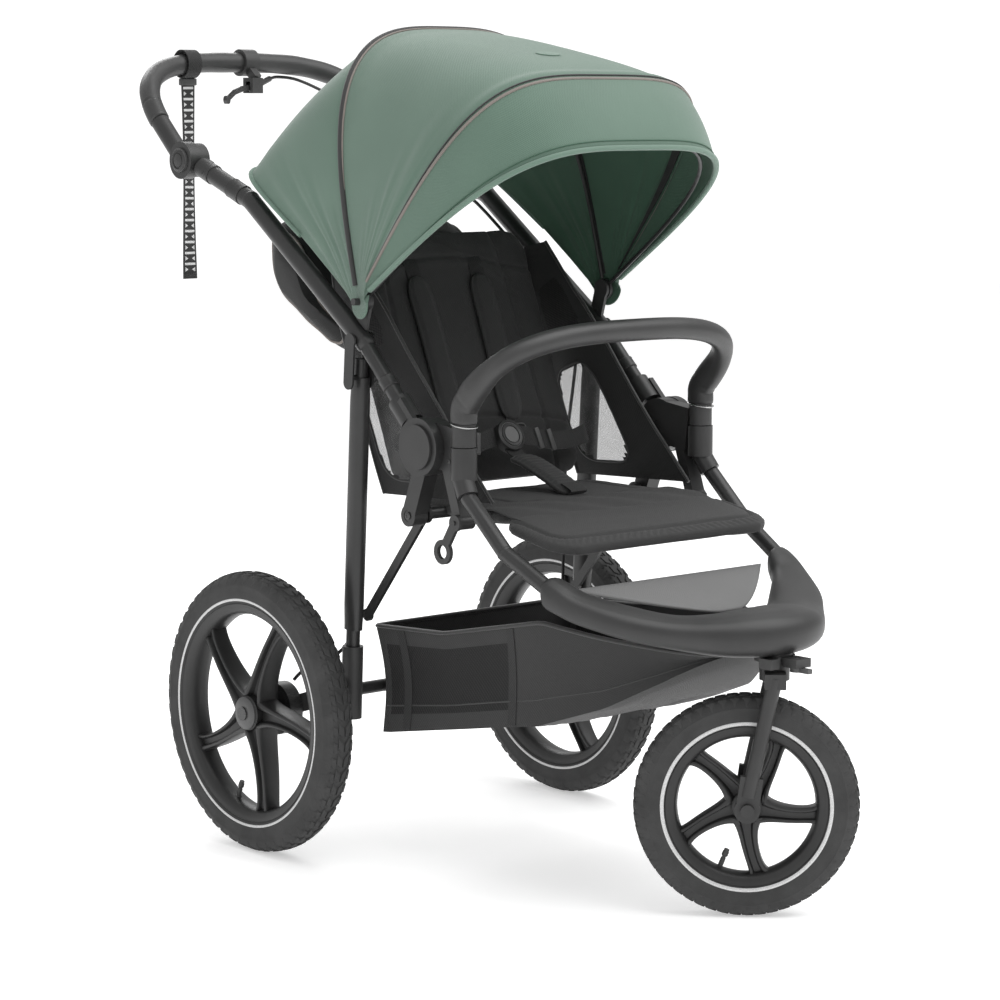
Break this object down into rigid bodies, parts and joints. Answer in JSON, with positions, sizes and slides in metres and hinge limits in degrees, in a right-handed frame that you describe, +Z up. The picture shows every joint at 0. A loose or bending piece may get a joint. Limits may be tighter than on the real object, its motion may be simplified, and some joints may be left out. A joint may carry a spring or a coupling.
{
  "type": "baby stroller",
  "caption": "Folding three-wheeled baby stroller with a padded seat, folding canopy, adjustable push handle, bumper bar, basket and swivelling front wheel.",
  "frame": {"origin": "middle of the bounding box, on the floor", "axes": "+X towards the left side, across; +Y towards the push handle, along the length; +Z up"},
  "size_m": [0.652, 1.2813, 1.1898],
  "materials": {
    "frame_paint": "satin black powder coat",
    "black_plastic": "fine grained matt black plastic",
    "soft_grip": "smooth dark grip cover",
    "seat_fabric": "anthracite woven seat cloth",
    "black_fabric": "black woven cloth",
    "canopy_fabric": "sage green canopy cloth",
    "panel_fabric": "grey panel cloth",
    "webbing": "black webbing",
    "tyre": "treaded black rubber",
    "rim_plastic": "satin black moulded rim",
    "cable_rubber": "black cable cover",
    "brake_metal": "dark brake metal"
  },
  "bodies": {
    "chassis": {"frame_tubes": "frame_paint", "hinge_housing_right": "black_plastic", "hinge_housing_left": "black_plastic", "nose_cover": "black_plastic", "foot_panel": "panel_fabric", "head_tube": "black_plastic", "seat_cross_bar": "frame_paint", "seat_pad": "seat_fabric", "side_panel_right": "black_fabric", "side_panel_left": "black_fabric", "crotch_pad": "seat_fabric", "buckle": "black_plastic", "basket": "black_fabric", "waist_straps": "webbing"},
    "buckle_button": {"buckle_button": "black_plastic"},
    "fold_latch": {"fold_latch": "black_plastic"},
    "bumper": {"bumper_bar": "soft_grip", "bumper_ends": "black_plastic"},
    "leg_rest": {"leg_rest": "seat_fabric"},
    "backrest": {"backrest": "seat_fabric", "shoulder_straps": "seat_fabric", "rear_bag": "black_fabric"},
    "push_frame": {"push_tube_right": "frame_paint", "push_tube_left": "frame_paint", "fold_disc_right": "black_plastic", "fold_disc_left": "black_plastic", "handle_hub_inner": "black_plastic", "canopy_mounts": "black_plastic", "rear_bow": "frame_paint", "canopy_rear": "canopy_fabric", "frame_cable": "cable_rubber"},
    "canopy_mid": {"mid_bow": "frame_paint", "canopy_mid": "canopy_fabric"},
    "canopy_front": {"front_bow": "frame_paint", "canopy_visor": "canopy_fabric"},
    "handle": {"handle_bar": "soft_grip", "handle_arms": "black_plastic", "brake_clamp": "black_plastic", "handle_cable": "cable_rubber"},
    "handle_button_right": {"handle_button_right": "black_plastic"},
    "handle_button_left": {"handle_button_left": "black_plastic"},
    "brake_lever": {"brake_lever": "brake_metal"},
    "wrist_strap": {"wrist_strap": "webbing"},
    "rear_frame": {"rear_legs": "frame_paint", "leg_brackets": "frame_paint", "foot_holders": "black_plastic", "cross_axle": "frame_paint", "trailing_arms": "frame_paint", "drum_brakes": "brake_metal", "leg_cable": "cable_rubber"},
    "parking_pedal": {"parking_pedal": "black_plastic"},
    "links": {"links": "frame_paint"},
    "rear_wheel_right": {"rear_rim_right": "rim_plastic", "rear_tyre_right": "tyre"},
    "rear_wheel_left": {"rear_rim_left": "rim_plastic", "rear_tyre_left": "tyre"},
    "front_swivel": {"fork": "frame_paint"},
    "swivel_lock": {"swivel_lock": "black_plastic"},
    "front_wheel": {"front_rim": "rim_plastic", "front_tyre": "tyre"}
  },
  "joints": [
    {"name": "fold", "type": "hinge", "parent": "chassis", "child": "push_frame", "pos_m": [0, -0.1096, 0.606], "axis": [1, 0, 0], "range_deg": [0, 30]},
    {"name": "leg_fold", "type": "hinge", "parent": "push_frame", "child": "rear_frame", "pos_m": [0, 0.0384, 0.742], "axis": [1, 0, 0], "range_deg": [-8, 0]},
    {"name": "link_fold", "type": "hinge", "parent": "chassis", "child": "links", "pos_m": [0, -0.0716, 0.507], "axis": [1, 0, 0], "range_deg": [0, 36]},
    {"name": "handle_tilt", "type": "hinge", "parent": "push_frame", "child": "handle", "pos_m": [0, 0.4374, 0.987], "axis": [1, 0, 0], "range_deg": [-30, 35]},
    {"name": "handle_press_right", "type": "slide", "parent": "handle", "child": "handle_button_right", "axis": [1, 0, 0], "range_m": [0, 0.003], "stiffness_N_per_m": 400, "springref_m": -0.003},
    {"name": "handle_press_left", "type": "slide", "parent": "handle", "child": "handle_button_left", "axis": [-1, 0, 0], "range_m": [0, 0.003], "stiffness_N_per_m": 400, "springref_m": -0.003},
    {"name": "brake_squeeze", "type": "hinge", "parent": "handle", "child": "brake_lever", "pos_m": [0.002, 0.59641, 1.09597], "axis": [-0.4226, 0.9063, 0], "range_deg": [0, 10], "stiffness_Nm_per_rad": 1, "springref_deg": -11.46},
    {"name": "strap_swing", "type": "hinge", "parent": "handle", "child": "wrist_strap", "pos_m": [-0.1, 0.62186, 1.13164], "axis": [1, 0, 0], "range_deg": [-20, 20]},
    {"name": "canopy_fold", "type": "hinge", "parent": "push_frame", "child": "canopy_mid", "pos_m": [0, 0.0274, 0.797], "axis": [1, 0, 0], "range_deg": [-35, 0]},
    {"name": "visor_fold", "type": "hinge", "parent": "canopy_mid", "child": "canopy_front", "pos_m": [0, 0.0274, 0.797], "axis": [1, 0, 0], "range_deg": [-11, 0]},
    {"name": "wheel_spin_right", "type": "hinge", "parent": "rear_frame", "child": "rear_wheel_right", "pos_m": [-0.297, 0.1904, 0.203], "axis": [1, 0, 0], "continuous": true},
    {"name": "wheel_spin_left", "type": "hinge", "parent": "rear_frame", "child": "rear_wheel_left", "pos_m": [0.297, 0.1904, 0.203], "axis": [1, 0, 0], "continuous": true},
    {"name": "parking_press", "type": "hinge", "parent": "rear_frame", "child": "parking_pedal", "pos_m": [0, 0.0694, 0.242], "axis": [1, 0, 0], "range_deg": [-20, 0]},
    {"name": "bumper_lift", "type": "slide", "parent": "chassis", "child": "bumper", "axis": [0, 0, 1], "range_m": [0, 0.028]},
    {"name": "leg_rest_tilt", "type": "hinge", "parent": "chassis", "child": "leg_rest", "pos_m": [0, -0.2136, 0.503], "axis": [1, 0, 0], "range_deg": [0, 25]},
    {"name": "backrest_recline", "type": "hinge", "parent": "chassis", "child": "backrest", "pos_m": [0, 0.0004, 0.516], "axis": [1, 0, 0], "range_deg": [-8, 0]},
    {"name": "buckle_press", "type": "slide", "parent": "chassis", "child": "buckle_button", "axis": [0, 0.8829, -0.4695], "range_m": [0, 0.002], "stiffness_N_per_m": 300, "springref_m": -0.002},
    {"name": "latch_turn", "type": "hinge", "parent": "chassis", "child": "fold_latch", "pos_m": [-0.235, -0.1776, 0.508], "axis": [1, 0, 0], "range_deg": [-20, 0]},
    {"name": "front_steer", "type": "hinge", "parent": "chassis", "child": "front_swivel", "pos_m": [0, -0.5476, 0.35], "axis": [0, 0, 1], "continuous": true},
    {"name": "swivel_lock_turn", "type": "hinge", "parent": "chassis", "child": "swivel_lock", "pos_m": [0, -0.5876, 0.345], "axis": [0, 0, 1], "range_deg": [0, 60]},
    {"name": "wheel_spin_front", "type": "hinge", "parent": "front_swivel", "child": "front_wheel", "pos_m": [-0.02505, -0.52316, 0.15], "axis": [0.6984, 0.7157, 0], "continuous": true}
  ],
  "couplings": [
    {"joint": "leg_fold", "follows": "fold", "ratio": -0.21},
    {"joint": "link_fold", "follows": "fold", "ratio": 1.12}
  ]
}
